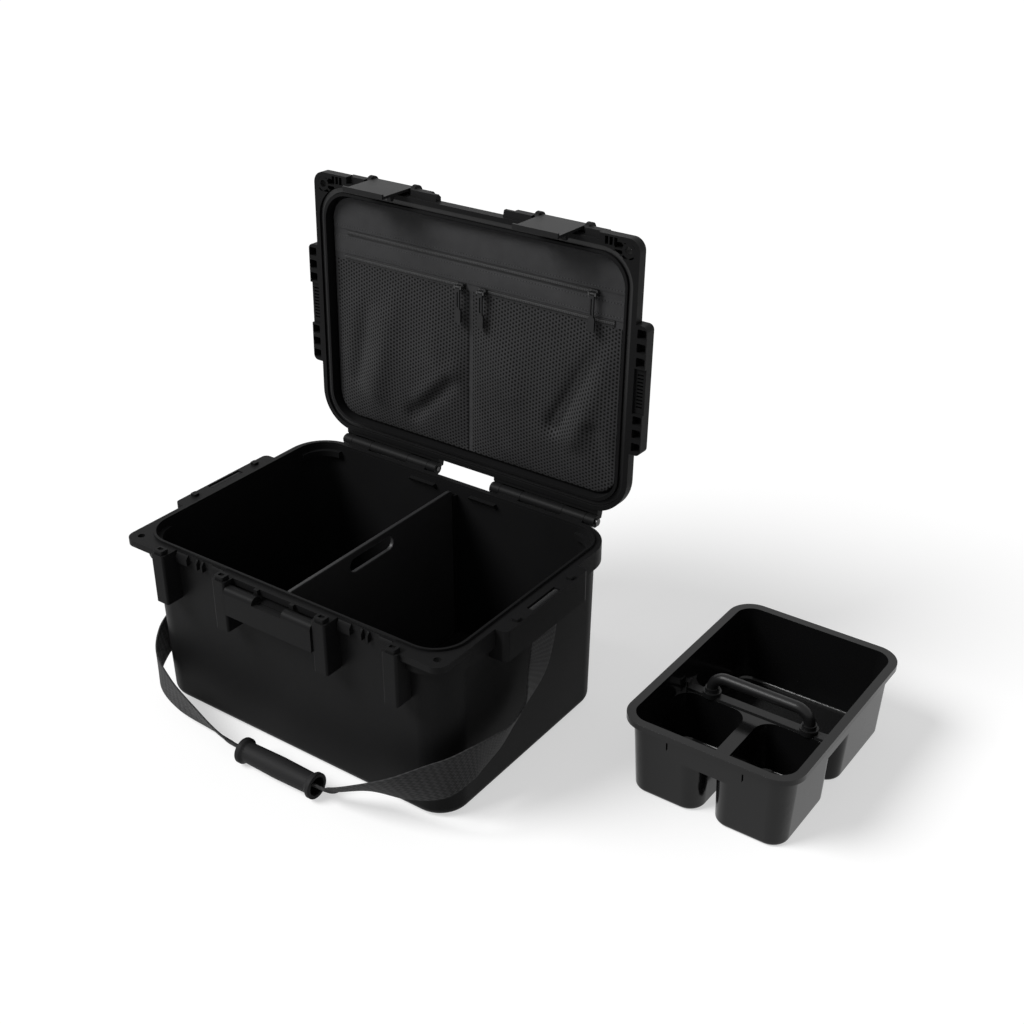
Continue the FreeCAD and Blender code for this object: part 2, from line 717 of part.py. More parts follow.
def strap_sections():
    """Corners of the webbing at even steps along its route."""
    middles, sides, widths, thicks = zip(*strap_stations())
    last = len(middles) - 1
    steps = last * strap_steps
    sections = []
    for step in range(steps + 1):
        place = step / strap_steps
        ahead = smooth_between(middles, min(place + 0.1, last))
        along = ahead - smooth_between(middles, max(place - 0.1, 0))
        if step in (0, steps):
            along = V(0, 0, along.z)
        along.normalize()
        across = smooth_between(sides, place)
        across = across - along * across.dot(along)
        across.normalize()
        side = across * (smooth_between(widths, place) / 2)
        face = along.cross(across) * (smooth_between(thicks, place) / 2)
        middle = smooth_between(middles, place)
        sections.append([middle + side + face, middle - side + face,
                         middle - side - face, middle + side - face])
    return sections


def triangle(a, b, c):
    return Part.Face(Part.makePolygon([a, b, c, a]))


def strap_webbing():
    """Webbing in flat facets from station to station, with a sewn loop at each end."""
    sections = strap_sections()
    faces = []
    for start, end in zip(sections, sections[1:]):
        for corner in range(4):
            following = (corner + 1) % 4
            near, far = (corner, following) if corner < 2 else (following, corner)
            faces.append(triangle(start[corner], start[following], end[far]))
            faces.append(triangle(start[near], end[following], end[corner]))
    for first, second, third, fourth in (sections[0], sections[-1]):
        faces.append(Part.Face(Part.makePolygon([first, second, third, fourth, first])))
    ribbon = Part.Solid(Part.makeShell(faces))
    if ribbon.Volume < 0:
        ribbon.reverse()
    return ribbon.fuse(strap_loop(1)).fuse(strap_loop(-1)).Solids[0]


def strap_grip():
    """Sleeve turned about its own axis, with a flared lip at each end."""
    length = grip_right - grip_left
    outline = [(grip_bore, 0), (grip_lip_radius, 0), (grip_lip_radius, 5), (grip_radius - 1, 10),
               (grip_radius, length / 2), (grip_radius - 1, length - 10),
               (grip_lip_radius, length - 5), (grip_lip_radius, length), (grip_bore, length)]
    points = [V(grip_left + along, -grip_y + radius, grip_z) for radius, along in outline]
    face = Part.Face(Part.makePolygon(points + points[:1]))
    return face.revolve(V(grip_left, -grip_y, grip_z), V(1, 0, 0), 360)


# Tray, drawn about its own middle

def in_place(shape):
    moved = shape.copy()
    moved.translate(V(tray_x, tray_y, 0))
    return moved


def tray_edge(half, z):
    """Outside of a tray wall, which leans out from the base to the lip."""
    return half - tray_lip_reach - tray_draft * (1 - z / tray_height)


def tray_cups(inset, low, high):
    """Three tapering cups: one behind the cross partition and two in front of it."""
    side = partition_width / 2
    low_side = side + cup_draft
    rise = cup_draft * (high - partition_top) / (partition_top - low)
    high_side = side - rise
    wires = []
    for z, part_half, radius in ((low, low_side, cup_corner - 3), (high, high_side, cup_corner)):
        edge_x = tray_edge(tray_rim_half_x, z) - tray_wall + inset
        edge_y = tray_edge(tray_rim_half_y, z) - tray_wall + inset
        near = part_half - inset
        spans = [(-edge_x, edge_x, partition_y + near, edge_y),
                 (-edge_x, -near, -edge_y, partition_y - near),
                 (near, edge_x, -edge_y, partition_y - near)]
        wires.append([span_wire(*span, radius + inset, z) for span in spans])
    return [Part.makeLoft([base, top], True, True) for base, top in zip(*wires)]


def span_wire(x0, x1, y0, y1, radius, z):
    return rounded((x1 - x0) / 2, (y1 - y0) / 2, radius, z, (x0 + x1) / 2, (y0 + y1) / 2)


def tray_band(inset, low, high):
    """The wall above the partitions, all round."""
    sections = []
    for z in (low, high):
        sections.append((tray_edge(tray_rim_half_x, z) - inset, tray_edge(tray_rim_half_y, z) - inset,
                         tray_corner - inset, z))
    return tapered(*sections)


def tray_moulding():
    plate_low = partition_top - partition_plate
    lip_low = tray_height - tray_lip_drop
    lip_corner = tray_corner + tray_lip_reach
    lip = slab(tray_rim_half_x, tray_rim_half_y, lip_corner, lip_low, tray_height)
    under = slab(tray_rim_half_x - 2, tray_rim_half_y - 2, lip_corner - 2, lip_low - 1, tray_height - 2.5)
    lip = lip.cut(under)
    cups = [cup.makeFillet(6.0, level_edges(cup, 0)) for cup in tray_cups(tray_wall, 0, plate_low + 1)]
    shape = join([tray_band(0, plate_low, tray_height), lip] + cups)
    inner = tray_cups(0, tray_wall, partition_top + 1)
    cuts = [cup.makeFillet(5.0, level_edges(cup, tray_wall)) for cup in inner]
    cuts.append(tray_band(tray_wall, partition_top, tray_height + 1))
    front = tray_edge(tray_rim_half_y, partition_top)
    for place in (-48.0, 46.0):
        cuts.append(block(place - 1, place + 1, -front - 4, -front + tray_wall + 2, 76, 87))
    for place in (-handle_half, handle_half):
        cuts.append(Part.makeCylinder(handle_shaft_radius + handle_fit, 20,
                                      V(place, partition_y, plate_low - 10)))
    return in_place(shape.cut(cuts).removeSplitter())


def handle_base():
    """Strip on the cross partition with a collar round each leg and upturned ends."""
    low = partition_top
    high = low + handle_base_thick
    strip = slab(95.0, 6.0, 3.0, low, high, 0, partition_y)
    shapes = [strip]
    cuts = []
    for place in (-handle_half, handle_half):
        middle = V(place, partition_y, low)
        shapes.append(Part.makeCylinder(collar_radius - 2.5, collar_height, middle))
        shapes.append(Part.makeCylinder(collar_radius, collar_height - 5, middle))
        cuts.append(Part.makeCylinder(handle_shaft_radius + handle_fit, 30, middle - V(0, 0, 5)))
    for place in (-94.0, 92.0):
        shapes.append(block(place, place + 2, partition_y - 5, partition_y + 5, low, low + 9))
    return in_place(join(shapes).cut(cuts))


def handle_bar():
    """Round bar bent down at both ends into legs, with thinner shafts through the collars."""
    bar_z = partition_top + handle_rise
    foot = partition_top + handle_foot
    bend = handle_bend
    y = partition_y
    half = math.sqrt(0.5)
    path = Part.Wire([
        Part.makeLine(V(-handle_half, y, foot), V(-handle_half, y, bar_z - bend)),
        Part.Arc(V(-handle_half, y, bar_z - bend),
                 V(-handle_half + bend - bend * half, y, bar_z - bend + bend * half),
                 V(-handle_half + bend, y, bar_z)).toShape(),
        Part.makeLine(V(-handle_half + bend, y, bar_z), V(handle_half - bend, y, bar_z)),
        Part.Arc(V(handle_half - bend, y, bar_z),
                 V(handle_half - bend + bend * half, y, bar_z - bend + bend * half),
                 V(handle_half, y, bar_z - bend)).toShape(),
        Part.makeLine(V(handle_half, y, bar_z - bend), V(handle_half, y, foot))])
    ring = Part.Wire([Part.makeCircle(handle_radius, V(-handle_half, y, foot), V(0, 0, 1))])
    bar = path.makePipeShell([ring], True, False)
    shafts = []
    low = partition_top - partition_plate - handle_stroke - stop_thick - 0.5
    for place in (-handle_half, handle_half):
        shafts.append(rod(handle_shaft_radius, V(place, y, low), V(place, y, foot + 1)))
    return in_place(join([bar] + shafts))


def handle_stops():
    """Discs pressed on the ends of the shafts; they stop the handle under the partition."""
    low = partition_top - partition_plate - handle_stroke - stop_thick - 0.5
    discs = []
    for place in (-handle_half, handle_half):
        disc = Part.makeCylinder(stop_radius, stop_thick, V(place, partition_y, low))
        discs.append(disc.cut(Part.makeCylinder(handle_shaft_radius, stop_thick + 2,
                                                V(place, partition_y, low - 1))))
    return in_place(Part.makeCompound(discs))


parts = {
    "case_tub": case_tub(),
    "hinge_pins": hinge_pins(),
    "strap_bar_right": strap_bar(),
    "strap_bar_left": mirrored(strap_bar()),
    "divider_panel": divider_panel(),
    "strap_webbing": strap_webbing(),
    "strap_grip": strap_grip(),
    "lid_shell": opened(lid_shell()),
    "lid_gasket": opened(lid_gasket()),
    "organiser_panel": opened(organiser_panel()),
    "organiser_top": opened(patch(-panel_x, panel_x, -panel_y, top_zip_y - top_zip_half, 2.0)),
    "organiser_band": opened(patch(-panel_x, panel_x, top_zip_y + top_zip_half,
                                  pocket_zip_y - pocket_zip_half, 2.0)),
    "top_zip": opened(patch(25.3 - panel_x, panel_x - 38.3, top_zip_y - top_zip_half,
                            top_zip_y + top_zip_half, 2.4)),
    "left_zip": opened(patch(20.3 - panel_x, left_zip_x + 6, pocket_zip_y - pocket_zip_half,
                             pocket_zip_y + pocket_zip_half, 2.4)),
    "right_zip": opened(patch(right_zip_x - 6, panel_x - 15.3, pocket_zip_y - pocket_zip_half,
                              pocket_zip_y + pocket_zip_half, 2.4)),
    "mesh_pocket_left": opened(mesh_pocket(5.3 - panel_x, -4)),
    "mesh_pocket_right": opened(mesh_pocket(4, panel_x - 5.3)),
    "top_slider": opened(zip_slider(top_zip_x, top_zip_y)),
    "left_slider": opened(zip_slider(left_zip_x, pocket_zip_y)),
    "right_slider": opened(zip_slider(right_zip_x, pocket_zip_y)),
    "top_pull": opened(zip_pull(top_zip_x, top_zip_y)),
    "left_pull": opened(zip_pull(left_zip_x, pocket_zip_y)),
    "right_pull": opened(zip_pull(right_zip_x, pocket_zip_y)),
    "latch_lever_right": opened(latch_lever(latch_place)),
    "latch_lever_left": opened(latch_lever(-latch_place)),
    "latch_bar_right": opened(latch_draw_bar(latch_place)),
    "latch_bar_left": opened(latch_draw_bar(-latch_place)),
    "latch_pin_right": opened(latch_pivot_pin(latch_place)),
    "latch_pin_left": opened(latch_pivot_pin(-latch_place)),
    "tray_moulding": tray_moulding(),
    "handle_base": handle_base(),
    "handle_bar": handle_bar(),
    "handle_stops": handle_stops(),
}

os.makedirs("parts", exist_ok=True)
for node, shape in parts.items():
    shape.exportStep("parts/" + node + ".step")
    print(node, shape.isValid(), len(shape.Solids), round(shape.Volume))
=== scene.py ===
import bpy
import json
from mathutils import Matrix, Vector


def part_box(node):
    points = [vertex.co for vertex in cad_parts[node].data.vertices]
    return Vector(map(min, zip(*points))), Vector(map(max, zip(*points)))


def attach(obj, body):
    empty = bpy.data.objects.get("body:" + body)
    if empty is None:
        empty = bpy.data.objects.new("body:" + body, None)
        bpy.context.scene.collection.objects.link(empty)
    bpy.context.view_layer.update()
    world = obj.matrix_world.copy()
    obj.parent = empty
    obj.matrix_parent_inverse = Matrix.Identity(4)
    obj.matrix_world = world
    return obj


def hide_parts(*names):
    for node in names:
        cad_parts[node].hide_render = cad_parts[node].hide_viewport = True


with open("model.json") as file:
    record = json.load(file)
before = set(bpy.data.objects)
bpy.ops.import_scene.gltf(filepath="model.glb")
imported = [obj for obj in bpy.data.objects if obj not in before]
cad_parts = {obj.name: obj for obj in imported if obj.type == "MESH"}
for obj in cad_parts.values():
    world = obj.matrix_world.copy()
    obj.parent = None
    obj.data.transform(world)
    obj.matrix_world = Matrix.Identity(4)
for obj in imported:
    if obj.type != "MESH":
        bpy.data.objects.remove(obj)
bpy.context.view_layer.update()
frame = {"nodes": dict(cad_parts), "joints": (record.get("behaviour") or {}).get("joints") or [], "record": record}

import json
import math

import bpy
from mathutils import Matrix, Vector

# Lengths are in metres in the frame of the solids: x to the right, y to the back, z up.
# "Drawn closed" means the place that a point of the lid has while the lid is shut.

# The photograph's camera
CAMERA_AZIMUTH = 35.4
CAMERA_ELEVATION = 28.9
CAMERA_PLACE = (1.016, -1.143, 1.097)
CAMERA_LENS = 51.45
CAMERA_SENSOR = 36.0
CAMERA_REACH = 100.0

# The stage
FLOOR_SIZE = 60.0
PAPER_DARK = 0.49
PAPER_LIGHT = 0.51
PAPER_GLOW = 0.55
SKY_LIGHT = 0.26
SKY_SEEN = 1.0
LAMP_STRENGTH = 3.2
LAMP_SPREAD = math.radians(30)
LAMP_FROM = (-0.62, -0.62, 0.85)

# Eased edges of the moulded pieces
EDGE_ROUND = 0.0008
TRAY_ROUND = 0.0014
EASED_FROM = math.radians(40)
SMOOTH_MOULDING = math.radians(60)
SAME_POINT = 1e-6
SAME_PLANE = math.radians(0.4)

# The lid hangs open by the whole range of its hinge
LID_HINGE = next(joint for joint in frame["joints"] if joint["name"] == "lid_hinge")
HINGE_PLACE = Vector(LID_HINGE["pos_m"])
LID_TURN = Matrix.Rotation(-math.radians(LID_HINGE["range_deg"][1]), 3, "X")

# The cloths of the lid, drawn closed: the height of the panel that they are sewn to and its outline
CLOTH_Z = 0.240
CLOTH_HALF_X = 0.2183
CLOTH_HALF_Y = 0.1483
CLOTH_CORNER = 0.034
SMOOTH_CLOTH = math.radians(50)

# Stitches: the rows' y, drawn closed, the length of one stitch, and where its side begins and ends
STITCH_ROWS = [-0.1105, -0.0950, -0.0785]
STITCH_LENGTH = 0.0042
STITCH_CORE = 0.0004
STITCH_EDGE = 0.0009

# Zips: the coils' y, drawn closed, the pitch of the teeth, and distances from the middle of a coil
ZIP_ROWS = [-0.1025, -0.0700]
ZIP_PITCH = 0.0024
ZIP_SLANT = 900.0
COIL_CORE = 0.0013
COIL_EDGE = 0.0019
GROOVE_SHADE_EDGE = 0.0031
TAPE_EDGE = 0.0036

# The webbing of the carrying strap
WEBBING_WIDTH = 0.050
WEBBING_THICK = 0.0018
WEBBING_EDGE = 0.0006
WEBBING_CUP = 0.004
WEBBING_COLUMNS = 10
WEBBING_ROWS = 400
GRIP_LEAD = 0.004

# Its weave, in radians over the whole length or width of the strap
RIB_TURN = 1100.0
WAVER_TURN = 60.0
WAVER_REACH = 1.2
CORD_TURN = 150.0


class Reading:
    """A socket of a node tree that takes Python's arithmetic."""

    def __init__(self, nodes, socket):
        self.nodes = nodes
        self.socket = socket

    def combine(self, operation, first, second):
        return self.nodes.node("ShaderNodeMath", {"operation": operation}, {0: first, 1: second})

    def __add__(self, other):
        return self.combine("ADD", self, other)

    def __sub__(self, other):
        return self.combine("SUBTRACT", self, other)

    def __rsub__(self, other):
        return self.combine("SUBTRACT", other, self)

    def __mul__(self, other):
        return self.combine("MULTIPLY", self, other)

    def least(self, other):
        return self.combine("MINIMUM", self, other)


class Nodes:
    """A node tree that is written as formulas."""

    def __init__(self, tree):
        self.tree = tree

    def feed(self, socket, value):
        if isinstance(value, Reading):
            self.tree.links.new(value.socket, socket)
        else:
            socket.default_value = value

    def node(self, kind, settings, sockets, output=0):
        node = self.tree.nodes.new(kind)
        for key, value in settings.items():
            setattr(node, key, value)
        for key, value in sockets.items():
            self.feed(node.inputs[key], value)
        return Reading(self, node.outputs[output])

    def seen(self):
        """1 for rays that end in the picture, also by mirrors and through glass, and 0 for the others."""
        rays = ["Is Camera Ray", "Is Glossy Ray", "Is Transmission Ray"]
        direct, mirrored, through = [self.node("ShaderNodeLightPath", {}, {}, ray) for ray in rays]
        return direct + mirrored + through


class Finish(Nodes):
    """One procedural material, built on the Principled shader."""

    def __init__(self, name, roughness, specular, sheen=0.0):
        self.material = bpy.data.materials.new(name)
        self.material.use_nodes = True
        super().__init__(self.material.node_tree)
        self.shader = self.tree.nodes["Principled BSDF"]
        self.paint("Roughness", roughness)
        self.paint("Specular IOR Level", specular)
        self.paint("Sheen Weight", sheen)

    def paint(self, name, value):
        self.feed(self.shader.inputs[name], value)

    def shade(self, factor, tones):
        dark, light = tones
        self.paint("Base Color", self.mix(factor, grey(dark), grey(light)))

    def relief(self, height, depth):
        bump = self.node("ShaderNodeBump", {}, {"Height": height, "Distance": depth, "Strength": 1.0})
        self.paint("Normal", bump)

    def place(self, output="Object"):
        return self.node("ShaderNodeTexCoord", {}, {}, output)

    def axis(self, place, name):
        return self.node("ShaderNodeSeparateXYZ", {}, {0: place}, name)

    def noise(self, place, scale, detail=3.0):
        return self.node("ShaderNodeTexNoise", {}, {"Vector": place, "Scale": scale, "Detail": detail})

    def wave(self, angle):
        return self.node("ShaderNodeMath", {"operation": "COSINE"}, {0: angle})

    def distance(self, value, middle):
        return self.node("ShaderNodeMath", {"operation": "ABSOLUTE"}, {0: value - middle})

    def ramp(self, value, zero_at, one_at):
        return self.node("ShaderNodeMapRange", {"clamp": True},
                         {"Value": value, "From Min": zero_at, "From Max": one_at})

    def mix(self, factor, dark, light):
        return self.node("ShaderNodeMix", {"data_type": "RGBA"}, {0: factor, 6: dark, 7: light}, 2)


def grey(level, tint=0.03):
    """A grey with a little more blue."""
    return (level, level, level * (1 + tint), 1.0)


def turn_per(pitch):
    """Radians per metre of a wave that repeats at a pitch."""
    return 2 * math.pi / pitch


def on_lid(x, y, z):
    """A point drawn closed, carried to the open lid."""
    return LID_TURN @ (Vector((x, y, z)) - HINGE_PLACE) + HINGE_PLACE


def heights_on_lid(rows):
    """Heights that rows across the cloths, drawn closed, have on the open lid."""
    return [on_lid(0, y, CLOTH_Z).z for y in rows]


def moulded_plastic(name, tones, roughness, specular, grain, depth):
    """Black plastic with a spark-eroded grain and a faint unevenness of tone and gloss."""
    finish = Finish(name, roughness, specular)
    place = finish.place()
    cloud = finish.noise(place, scale=9.0)
    speck = finish.noise(place, scale=grain, detail=2.0)
    finish.shade(cloud * 0.6 + speck * 0.4, tones)
    finish.paint("Roughness", cloud * 0.10 + speck * 0.06 + (roughness - 0.08))
    finish.relief(speck, depth)
    return finish.material


def woven_cloth(name, tones, pitch, stitch_rows):
    """Plain weave, two sets of threads that cross in the plane of the lid, with rows of stitches."""
    finish = Finish(name, roughness=0.85, specular=0.12, sheen=0.03)
    place = finish.place()
    height = finish.axis(place, "Z")
    across = finish.wave(finish.axis(place, "X") * turn_per(pitch))
    along = finish.wave(height * turn_per(pitch))
    weave = across * along * 0.5 + 0.5
    cloud = finish.noise(place, scale=60.0, detail=5.0)
    dash = finish.ramp(finish.wave(finish.axis(place, "X") * turn_per(STITCH_LENGTH)), -0.35, 0.0)
    stitch = None
    for row in heights_on_lid(stitch_rows):
        line = finish.ramp(finish.distance(height, row), STITCH_EDGE, STITCH_CORE)
        stitch = line if stitch is None else stitch + line
    finish.shade(weave * 0.45 + cloud * 0.45 + stitch * (dash * 0.9 - 0.45), tones)
    finish.paint("Roughness", cloud * 0.15 + 0.75)
    finish.relief(weave + cloud + stitch * (dash * 2.0 - 1.5), depth=0.0004)
    return finish.material


def open_mesh(name, tones, pitch):
    """Knitted mesh: round holes in a six-sided pattern between lighter threads. The holes are not cut; they are
    painted near black, painted shade of the pocket behind the mesh.
    """
    finish = Finish(name, roughness=0.8, specular=0.15, sheen=0.03)
    place = finish.place()
    slant = math.sqrt(0.75)
    x = finish.axis(place, "X") * turn_per(pitch * slant)
    z = finish.axis(place, "Z") * turn_per(pitch * slant)
    lattice = finish.wave(x) + finish.wave(x * 0.5 + z * slant) + finish.wave(x * 0.5 - z * slant)
    thread = finish.ramp(lattice, 1.0, -0.1)
    cloud = finish.noise(place, scale=25.0, detail=4.0)
    # Painted shade: the holes take the dark tone, standing for the shaded pocket seen through them.
    finish.shade(thread * (cloud * 0.5 + 0.6), tones)
    finish.paint("Roughness", 0.9 - thread * 0.2)
    finish.relief(thread, depth=0.0006)
    return finish.material


def strap_webbing_cloth(name, tones):
    """Heavy webbing: ribs across the strap that waver, and cords along it."""
    finish = Finish(name, roughness=0.75, specular=0.2, sheen=0.05)
    flat = finish.place("UV")
    across = finish.axis(flat, "X")
    along = finish.axis(flat, "Y")
    waver = finish.wave(across * WAVER_TURN) * WAVER_REACH
    ribs = finish.wave(along * RIB_TURN + waver) * 0.5 + 0.5
    cords = finish.wave(across * CORD_TURN) * 0.5 + 0.5
    weave = ribs * 0.6 + cords * 0.4
    cloud = finish.noise(finish.place(), scale=40.0, detail=4.0)
    finish.shade(weave * 0.7 + cloud * 0.3, tones)
    finish.paint("Roughness", 0.85 - weave * 0.15)
    finish.relief(weave, depth=0.0006)
    return finish.material


def zip_tape_cloth(name, tones, zip_rows):
    """Zip tape with a coil of teeth along the middle, painted darker between the teeth as painted shade, and a
    dark band of painted shade on each side of it, standing for the shade in a groove.
    """
    finish = Finish(name, roughness=0.5, specular=0.3)
    place = finish.place()
    height = finish.axis(place, "Z")
    away = None
    for row in heights_on_lid(zip_rows):
        reach = finish.distance(height, row)
        away = reach if away is None else away.least(reach)
    # Painted shade: the band between the coil and the tape keeps the dark tone, and the coil is darker between its
    # teeth.
    coil = finish.ramp(away, COIL_EDGE, COIL_CORE)
    tape = finish.ramp(away, GROOVE_SHADE_EDGE, TAPE_EDGE)
    teeth = finish.wave(finish.axis(place, "X") * turn_per(ZIP_PITCH) + away * ZIP_SLANT) * 0.5 + 0.5
    cloud = finish.noise(place, scale=200.0)
    finish.shade(coil * (teeth * 0.8 + 0.2) + tape * (cloud * 0.3 + 0.3), tones)
    finish.paint("Roughness", 0.6 - coil * 0.2)
    finish.relief(coil * (teeth * 0.5 + 0.5), depth=0.0010)
    return finish.material


FINISHES = {
    "case_plastic": moulded_plastic("case plastic", tones=(0.0060, 0.0110), roughness=0.44, specular=0.045,
                                    grain=1400.0, depth=0.00010),
    "divider_plastic": moulded_plastic("divider plastic", tones=(0.0240, 0.0340), roughness=0.36,
                                       specular=0.16, grain=1500.0, depth=0.00006),
    "latch_plastic": moulded_plastic("latch plastic", tones=(0.0090, 0.0150), roughness=0.42, specular=0.10,
                                     grain=1500.0, depth=0.00008),
    "handle_plastic": moulded_plastic("handle plastic", tones=(0.0070, 0.0110), roughness=0.34,
                                      specular=0.20, grain=1500.0, depth=0.00007),
    "tray_plastic": moulded_plastic("tray plastic", tones=(0.0040, 0.0060), roughness=0.15, specular=0.24,
                                    grain=900.0, depth=0.00001),
    "steel": moulded_plastic("blackened steel", tones=(0.0120, 0.0200), roughness=0.35, specular=0.50,
                             grain=1200.0, depth=0.00003),
    "grip_rubber": moulded_plastic("grip rubber", tones=(0.0110, 0.0170), roughness=0.60, specular=0.10,
                                   grain=1100.0, depth=0.00012),
    "gasket_rubber": moulded_plastic("gasket rubber", tones=(0.0090, 0.0150), roughness=0.35, specular=0.30,
                                     grain=900.0, depth=0.00005),
    "pull_rubber": moulded_plastic("pull rubber", tones=(0.0120, 0.0200), roughness=0.45, specular=0.20,
                                   grain=1500.0, depth=0.00006),
    "zip_metal": moulded_plastic("lacquered metal", tones=(0.0120, 0.0200), roughness=0.25, specular=0.60,
                                 grain=1500.0, depth=0.00003),
    "cloth": woven_cloth("organiser cloth", tones=(0.0240, 0.0720), pitch=0.0016, stitch_rows=STITCH_ROWS),
    # The mesh's dark tone is painted shade seen through its holes.
    "mesh": open_mesh("pocket mesh", tones=(0.0010, 0.0340), pitch=0.0050),
    "webbing": strap_webbing_cloth("strap webbing", tones=(0.0060, 0.0320)),
    # The zip's dark tone is also painted shade beside the coil and between its teeth.
    "zip_tape": zip_tape_cloth("zip tape", tones=(0.0015, 0.0460), zip_rows=ZIP_ROWS),
}

SLOTS = {entry["node"]: entry["material_slot"] for entry in frame["record"]["subparts"]}
BODY_OF = {node: body for body, nodes in frame["record"]["behaviour"]["bodies"].items() for node in nodes}


def dress(obj, slot):
    obj.data.materials.clear()
    obj.data.materials.append(FINISHES[slot])


def stand_in(piece, node):
    """Shows a piece in place of a node's bare solid, on the same body and in the same finish."""
    dress(piece, SLOTS[node])
    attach(piece, BODY_OF[node])
    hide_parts(node)


def only(obj):
    """Makes an object the one that the operators work on."""
    bpy.ops.object.select_all(action="DESELECT")
    obj.select_set(True)
    bpy.context.view_layer.objects.active = obj


def apply_all(obj):
    only(obj)
    for modifier in list(obj.modifiers):
        bpy.ops.object.modifier_apply(modifier=modifier.name)


def rounded_copy(node, width):
    """A moulded piece with its sharp edges eased."""
    piece = frame["nodes"][node].copy()
    piece.data = piece.data.copy()
    piece.name = node + "_moulded"
    bpy.context.collection.objects.link(piece)
    piece.parent = None
    piece.matrix_world = Matrix.Identity(4)
    only(piece)
    bpy.ops.object.mode_set(mode="EDIT")
    bpy.ops.mesh.select_all(action="SELECT")
    bpy.ops.mesh.remove_doubles(threshold=SAME_POINT)
    bpy.ops.mesh.dissolve_limited(angle_limit=SAME_PLANE)
    bpy.ops.object.mode_set(mode="OBJECT")
    edge = piece.modifiers.new("eased edges", "BEVEL")
    edge.width = width
    edge.segments = 2
    edge.limit_method = "ANGLE"
    edge.angle_limit = EASED_FROM
    edge.use_clamp_overlap = True
    even = piece.modifiers.new("even shading", "WEIGHTED_NORMAL")
    even.keep_sharp = True
    bpy.ops.object.shade_smooth_by_angle(angle=SMOOTH_MOULDING)
    apply_all(piece)
    stand_in(piece, node)


def flat_sheet(name, columns, rows):
    """A grid from -1 to 1 both ways, to be shaped vertex by vertex."""
    bpy.ops.object.select_all(action="DESELECT")
    bpy.ops.mesh.primitive_grid_add(x_subdivisions=columns, y_subdivisions=rows, size=2.0)
    sheet = bpy.context.object
    sheet.name = name
    return sheet


def thicken(piece, thick):
    shell = piece.modifiers.new("thickness", "SOLIDIFY")
    shell.thickness = thick
    shell.offset = 0.0


def inside_outline(x, y):
    """Pulls a point of a cloth back inside the panel's outline, a rectangle with round corners."""
    core_x = CLOTH_HALF_X - CLOTH_CORNER
    core_y = CLOTH_HALF_Y - CLOTH_CORNER
    over_x = max(abs(x) - core_x, 0.0)
    over_y = max(abs(y) - core_y, 0.0)
    reach = math.hypot(over_x, over_y)
    if reach <= CLOTH_CORNER:
        return x, y
    shrink = CLOTH_CORNER / reach
    return (math.copysign(core_x + over_x * shrink, x) if over_x else x,
            math.copysign(core_y + over_y * shrink, y) if over_y else y)


def ripple(x, y):
    """Slack of thin cloth: long shallow waves, from -1 to 1."""
    return (math.sin(x * 31.0 + 1.3 * math.sin(y * 23.0)) * 0.5
            + math.sin(y * 41.0 + x * 17.0) * 0.3
            + math.sin((x - y) * 67.0) * 0.2)


def fold(x, y, start, end, width, height):
    """A soft ridge, or a hollow if the height is negative, between two points of a cloth."""
    point = Vector((x, y)) - Vector(start)
    run = Vector(end) - Vector(start)
    share = min(max(point.dot(run) / run.length_squared, 0.0), 1.0)
    away = (point - run * share).length
    return height * math.exp(-(away / width) ** 2)


def lid_cloth(name, node, span, stand, crown, slack, thick, columns=90, rows=90, sag=1.0, folds=()):
    """Cloth that is sewn to the lid's panel along its edges and bulges between them.

    span is its x and y range, drawn closed, stand how far its edges are off the panel, crown its bulge and
    slack the height of its waves. A sag over 1 moves the bulge towards the hinge.
    """
    x0, x1, y0, y1 = span
    piece = flat_sheet(name, columns, rows)
    for vertex in piece.data.vertices:
        u, v = vertex.co.x, vertex.co.y
        x = x0 + (x1 - x0) * (u + 1) / 2
        y = y0 + (y1 - y0) * (v + 1) / 2
        x, y = inside_outline(x, y)
        down = math.sin(math.pi * max((v + 1) / 2, 0.0) ** sag)
        bulge = (1 - abs(u) ** 4) * max(down, 0.0) ** 0.7
        creases = sum(fold(x, y, *each) for each in folds)
        lift = stand + bulge * max(crown + slack * ripple(x, y) + creases, 0.0)
        vertex.co = on_lid(x, y, CLOTH_Z - lift)
    thicken(piece, thick)
    apply_all(piece)
    bpy.ops.object.mode_set(mode="EDIT")
    bpy.ops.mesh.select_all(action="SELECT")
    bpy.ops.mesh.normals_make_consistent(inside=False)
    bpy.ops.object.mode_set(mode="OBJECT")
    bpy.ops.object.shade_smooth_by_angle(angle=SMOOTH_CLOTH)
    stand_in(piece, node)


# Folds of the mesh pockets, drawn closed: start, end, width and height
LEFT_FOLDS = [
    ((-0.030, 0.062), (-0.090, 0.120), 0.011, -0.0075),
    ((-0.020, 0.040), (-0.075, 0.095), 0.013, 0.0050),
    ((-0.120, -0.040), (-0.150, 0.100), 0.018, 0.0050),
    ((-0.165, -0.010), (-0.185, 0.090), 0.013, -0.0060),
    ((-0.060, -0.030), (-0.055, 0.040), 0.016, 0.0020),
]
RIGHT_FOLDS = [
    ((0.188, -0.045), (0.128, 0.075), 0.011, -0.0085),
    ((0.205, -0.030), (0.160, 0.085), 0.013, 0.0055),
    ((0.185, 0.070), (0.205, 0.125), 0.011, -0.0060),
    ((0.030, -0.030), (0.070, 0.050), 0.016, 0.0025),
    ((0.020, 0.060), (0.050, 0.115), 0.012, -0.0025),
]

# The webbing round a strap bar, from its sewn end inside to the hanging leg outside:
# how far out from the bar's middle, and how far above it
BAR_LOOP = [(-0.0018, -0.030), (-0.0024, -0.014), (-0.0033, 0.0), (0.0, 0.0036),
            (0.0033, 0.0), (0.0024, -0.014), (0.0015, -0.032)]


